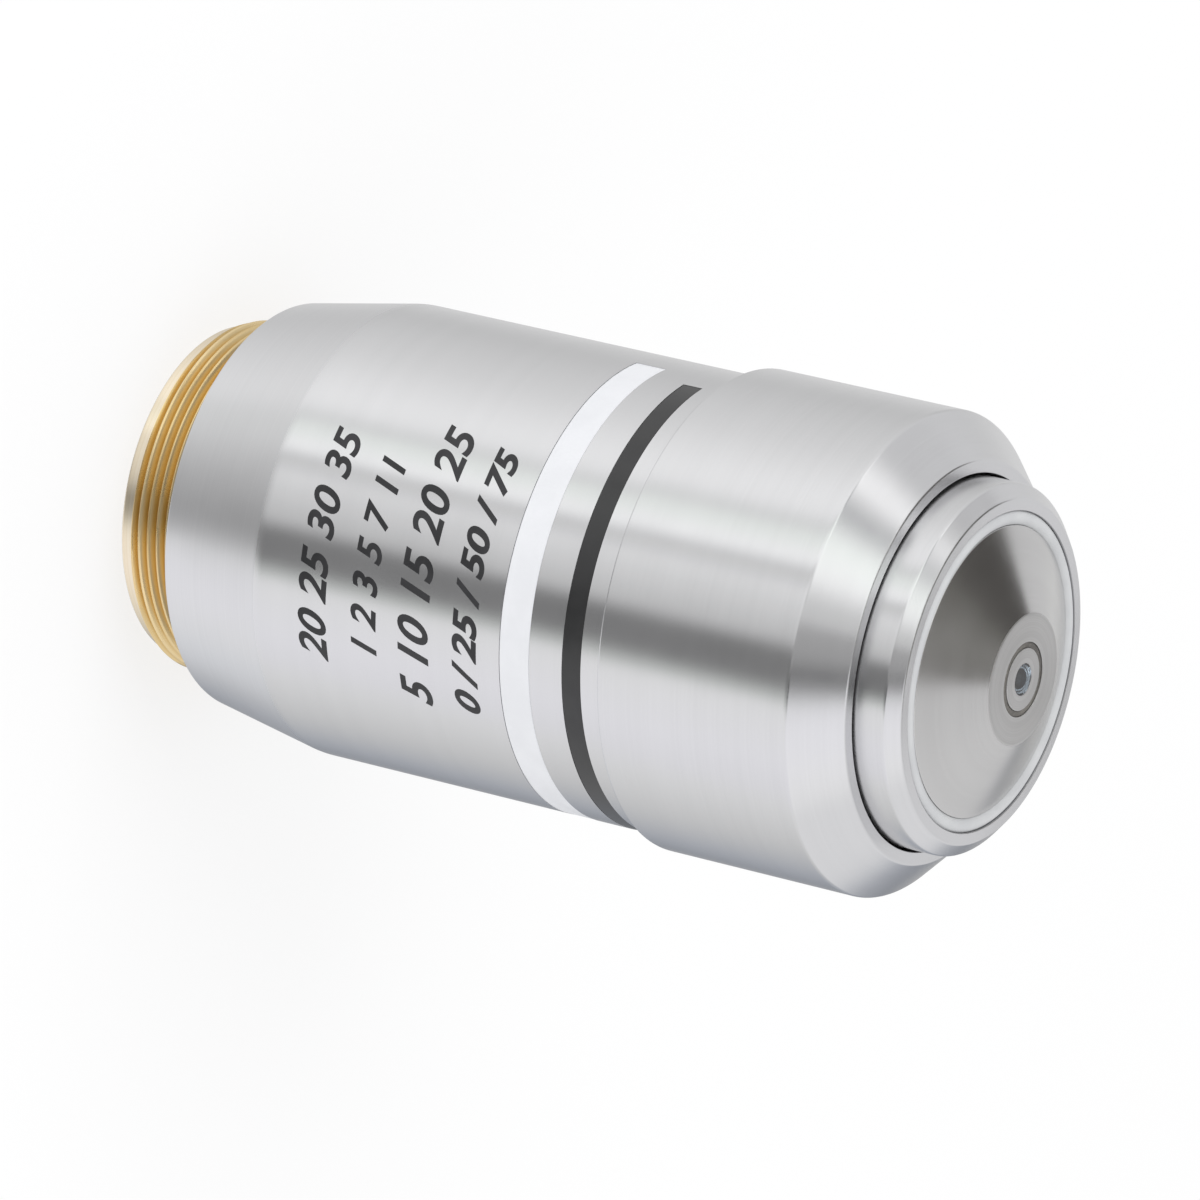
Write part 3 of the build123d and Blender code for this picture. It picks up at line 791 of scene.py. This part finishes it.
blackAnodised = turnedMetal("blackAnodised", {
    "darkColour": (0.03, 0.03, 0.033), "lightColour": (0.06, 0.06, 0.065), "linesPerMetre": 7000.0,
    "fade": 0.5, "roughness": (0.38, 0.48), "bump": 0.4, "markDepth": 0.006, "stretch": 0.0,
})
springSteel = turnedMetal("springSteel", {
    "darkColour": (0.42, 0.42, 0.43), "lightColour": (0.55, 0.55, 0.56), "linesPerMetre": 5000.0,
    "fade": 0.5, "roughness": (0.25, 0.35), "bump": 0.2, "markDepth": 0.004, "stretch": 0.0,
})
darkSteel = turnedMetal("darkSteel", {
    "darkColour": (0.18, 0.18, 0.19), "lightColour": (0.28, 0.28, 0.29), "linesPerMetre": 9000.0,
    "fade": 0.5, "roughness": (0.3, 0.4), "bump": 0.3, "markDepth": 0.004, "stretch": 0.0,
})
innerFinishes = {
    "optical_glass": lensGlass, "black_cell": blackAnodised,
    "spring_steel": springSteel, "dark_steel": darkSteel,
}


def finishInside():
    for row in frame["record"]["subparts"]:
        finish = innerFinishes.get(row["material_slot"])
        if finish and row["node"] != "front_lens":
            mesh = frame["nodes"][row["node"]].data
            mesh.materials.clear()
            mesh.materials.append(finish)
    print("inner pieces finished")


# studio

studioLook = {
    "floorSize": 8.0, "floorColour": (0.93, 0.93, 0.935), "floorGlow": 1.03, "shadowShare": 0.3,
    "ambient": 0.78,
    # what polished metal mirrors, by compass angle in degrees: grey level and tint
    "walls": [
        (0, 0.88, "neutral"), (28, 0.70, "neutral"), (55, 0.46, "cool"), (72, 0.31, "cool"),
        (84, 0.50, "neutral"), (100, 0.80, "neutral"), (135, 0.66, "neutral"), (180, 0.88, "neutral"),
        (204, 1.08, "neutral"), (215, 1.1, "neutral"), (222, 0.79, "neutral"), (228, 1.08, "green"),
        (239, 1.28, "neutral"), (245, 0.66, "neutral"), (254, 0.98, "neutral"), (268, 0.80, "neutral"),
        (276, 0.70, "neutral"), (283, 0.22, "neutral"), (297, 0.20, "neutral"), (303, 0.55, "green"),
        (308, 0.96, "neutral"), (335, 0.98, "lavender"), (350, 0.93, "lavender"),
    ],
    # the same for what lies high above and far below the walls
    "upper": [
        (0, 1.06, "neutral"), (30, 1.05, "neutral"), (140, 0.7, "neutral"), (160, 0.9, "neutral"),
        (168, 1.1, "neutral"), (176, 1.4, "neutral"), (190, 1.42, "neutral"), (194, 0.5, "neutral"),
        (203, 0.22, "cool"), (208, 1.1, "neutral"), (214, 1.38, "green"), (238, 1.26, "neutral"),
        (247, 0.85, "neutral"), (256, 0.68, "neutral"), (264, 0.78, "neutral"), (270, 0.42, "neutral"),
        (290, 0.44, "neutral"), (296, 0.12, "neutral"), (304, 0.02, "neutral"), (309, 0.25, "green"),
        (313, 0.85, "neutral"), (320, 1.02, "lavender"), (345, 1.05, "lavender"),
    ],
    "lower": [
        (0, 0.98, "neutral"), (43, 0.84, "cool"), (60, 0.5, "cool"), (84, 0.6, "neutral"),
        (100, 0.8, "neutral"), (135, 0.66, "neutral"), (180, 0.88, "neutral"), (204, 0.96, "neutral"),
        (214, 0.78, "neutral"), (240, 0.66, "neutral"), (260, 0.44, "neutral"), (275, 0.38, "neutral"),
        (290, 0.34, "neutral"), (299, 0.5, "neutral"), (306, 1.0, "neutral"), (320, 1.0, "lavender"),
        (344, 1.02, "lavender"),
    ],
    "tints": {
        "neutral": (1, 1, 1), "cool": (0.93, 0.98, 1.08), "green": (0.97, 1.02, 0.97),
        "lavender": (0.99, 0.985, 1.02),
    },
    # each edge below is a pair, or two pairs, of x, y or z of the mirrored direction
    "lowerEdge": (-0.72, -0.64), "upperEdge": (0.35, 0.55),
    # the stripes' zone is in shares of a full turn
    "stripeZone": (0.53, 0.57, 0.72, 0.77), "stripeCount": 190.0, "stripeDepth": 0.42, "pastel": 0.3,
    "stripeLight": (1.2, 1.2, 1.22), "stripeDark": (0.45, 0.45, 0.46),
    "ceiling": (0.78, 0.78, 0.79), "ceilingEdge": (0.0, 0.2),
    "brightCeiling": (0.89, 0.89, 0.9), "brightEdge": (0.25, 0.6),
    "darkPanel": (0.175, 0.168, 0.155), "panelLow": (0.44, 0.49),
    "panelSides": (-0.72, -0.62, 0.07, 0.16), "panelBack": (0.05, 0.15, 0.75, 0.79),
    "deepPanel": (0.085, 0.08, 0.075), "deepEdge": (-0.4, -0.3),
    # place, width and power of each lamp
    "lamps": {
        "keySoftbox": ((-0.55, -0.45, 0.85), 0.7, 3.4),
        "fillSoftbox": ((0.6, -0.5, 0.6), 0.8, 1.2),
    },
    "lampAim": (0, 0, 0.03),
}


def makeWalls(tree, turn, levels):
    # a ramp of greys round the compass
    ramp = addNode(tree, "ShaderNodeValToRGB", {0: turn})
    stops = ramp.color_ramp.elements
    while len(stops) > 1:
        stops.remove(stops[-1])
    for index, (angle, level, tint) in enumerate(levels + [(360, *levels[0][1:])]):
        stop = stops[0] if index == 0 else stops.new(angle / 360)
        stop.position = angle / 360
        stop.color = opaque(level * share for share in studioLook["tints"][tint])
    return ramp.outputs[0]


def addStripes(tree, turn, walls):
    # narrow light and dark bars between the two bright walls give the long fine streaks
    look = studioLook
    noise = addNode(
        tree, "ShaderNodeTexNoise", {"W": turn, "Scale": look["stripeCount"], "Detail": 2.0},
        noise_dimensions="1D",
    )
    zone = between(tree, turn, look["stripeZone"])
    swing = calculate(tree, "SUBTRACT", noise.outputs["Fac"], 0.5)
    stripe = multiply(tree, swing, zone, 2 * look["stripeDepth"])
    light = calculate(tree, "ABSOLUTE", stripe)
    dark = calculate(tree, "MAXIMUM", calculate(tree, "MULTIPLY", stripe, -1.0), 0.0)
    striped = mixColours(tree, light, walls, opaque(look["stripeLight"]))
    striped = mixColours(tree, dark, striped, opaque(look["stripeDark"]))
    pastel = calculate(tree, "MULTIPLY", zone, look["pastel"])
    return mixColours(tree, pastel, striped, noise.outputs["Color"], "OVERLAY")


def mirroredRoom(tree):
    # the walls, a pale ceiling, and a dark panel above and behind
    look = studioLook
    way = addNode(tree, "ShaderNodeTexCoord").outputs["Generated"]
    x, y, z = addNode(tree, "ShaderNodeSeparateXYZ", {0: way}).outputs
    angle = calculate(tree, "ARCTAN2", y, x)
    turn = calculate(tree, "FRACT", calculate(tree, "MULTIPLY_ADD", angle, 0.5 / pi, 1.0))
    room = addStripes(tree, turn, makeWalls(tree, turn, look["walls"]))
    low = blendOut(tree, z, *look["lowerEdge"])
    room = mixColours(tree, low, room, makeWalls(tree, turn, look["lower"]))
    high = blendIn(tree, z, *look["upperEdge"])
    room = mixColours(tree, high, room, makeWalls(tree, turn, look["upper"]))
    bright = blendIn(tree, x, *look["brightEdge"])
    ceiling = mixColours(tree, bright, opaque(look["ceiling"]), opaque(look["brightCeiling"]))
    edge = look["ceilingEdge"]
    above = multiply(tree, blendIn(tree, z, *edge), blendIn(tree, y, *edge))
    room = mixColours(tree, above, room, ceiling)
    deep = blendOut(tree, x, *look["deepEdge"])
    panel = mixColours(tree, deep, opaque(look["darkPanel"]), opaque(look["deepPanel"]))
    raised = blendIn(tree, z, *look["panelLow"])
    sides, back = between(tree, x, look["panelSides"]), between(tree, y, look["panelBack"])
    return mixColours(tree, multiply(tree, raised, sides, back), room, panel)


def seenThrough(tree, rays):
    # 1 for what the camera sees, straight or through glass
    return calculate(tree, "MAXIMUM", rays.outputs["Is Camera Ray"], rays.outputs["Is Transmission Ray"])


def makeWorld():
    world = bpy.data.worlds.new("studio")
    bpy.context.scene.world = world
    world.use_nodes = True
    world.cycles.sampling_method = "NONE"
    tree = world.node_tree
    tree.nodes.clear()
    rays = addNode(tree, "ShaderNodeLightPath")
    ambient = (studioLook["ambient"],) * 3
    seen = mixColours(tree, rays.outputs["Is Glossy Ray"], opaque(ambient), mirroredRoom(tree))
    seen = mixColours(tree, seenThrough(tree, rays), seen, (1, 1, 1, 1))
    light = addNode(tree, "ShaderNodeBackground", {"Color": seen, "Strength": 1.0})
    output = addNode(tree, "ShaderNodeOutputWorld")
    tree.links.new(light.outputs[0], output.inputs[0])


def makeFloor():
    # a white sheet that mostly glows, so that only a soft share of the shadow shows
    look = studioLook
    bm = bmesh.new()
    bmesh.ops.create_grid(bm, x_segments=1, y_segments=1, size=look["floorSize"] / 2)
    bmesh.ops.translate(bm, verts=bm.verts, vec=(0, 0, cadBox[0][2]))
    mesh = bpy.data.meshes.new("floor")
    bm.to_mesh(mesh)
    bm.free()
    floor = bpy.data.objects.new("floor", mesh)
    bpy.context.scene.collection.objects.link(floor)
    floor.visible_glossy = False
    paper = bpy.data.materials.new("paleFloor")
    paper.use_nodes = True
    tree = paper.node_tree
    tree.nodes.clear()
    matt = addNode(tree, "ShaderNodeBsdfDiffuse", {"Color": opaque(look["floorColour"])})
    glow = addNode(tree, "ShaderNodeEmission", {"Color": (1, 1, 1, 1), "Strength": look["floorGlow"]})
    clear = seenThrough(tree, addNode(tree, "ShaderNodeLightPath"))
    share = calculate(tree, "MULTIPLY", clear, 1 - look["shadowShare"])
    mixed = addNode(tree, "ShaderNodeMixShader", {0: share, 1: matt.outputs[0], 2: glow.outputs[0]})
    output = addNode(tree, "ShaderNodeOutputMaterial")
    tree.links.new(mixed.outputs[0], output.inputs[0])
    mesh.materials.append(paper)


def makeLamps():
    aim = Vector(studioLook["lampAim"])
    for name, (place, size, power) in studioLook["lamps"].items():
        lamp = bpy.data.lights.new(name, "AREA")
        lamp.size = size
        lamp.energy = power
        holder = bpy.data.objects.new(name, lamp)
        bpy.context.scene.collection.objects.link(holder)
        holder.location = place
        holder.rotation_euler = (Vector(place) - aim).to_track_quat("Z", "Y").to_euler()
        holder.visible_glossy = False
    print("studio ready")


cameraLook = {
    "place": (0.0012903, -0.619544, 0.382241), "lens": 312.73, "sensor": 36.0, "clip": (0.01, 50.0),
    "right": (-0.22857, 0.48460, 0.84434), "down": (0.97353, 0.11378, 0.19824),
    "forward": (0.0, 0.86730, -0.49778),
}


def makeCamera():
    look = cameraLook
    camera = bpy.data.objects.new("camera", bpy.data.cameras.new("camera"))
    bpy.context.scene.collection.objects.link(camera)
    camera.data.lens = look["lens"]
    camera.data.sensor_width = look["sensor"]
    camera.data.sensor_fit = "HORIZONTAL"
    camera.data.clip_start, camera.data.clip_end = look["clip"]
    upward = [-value for value in look["down"]]
    backward = [-value for value in look["forward"]]
    turn = Matrix((look["right"], upward, backward)).transposed()
    camera.matrix_world = Matrix.Translation(look["place"]) @ turn.to_4x4()
    bpy.context.scene.camera = camera
    print("camera ready")


makeMount()
makeBarrel()
makeBands()
makeSleeve()
makeNumbers()
makeNose()
makeCap()
makeSeal()
makeFrontLens()
finishInside()
makeWorld()
makeFloor()
makeLamps()
makeCamera()
bpy.context.scene.view_settings.view_transform = "Standard"
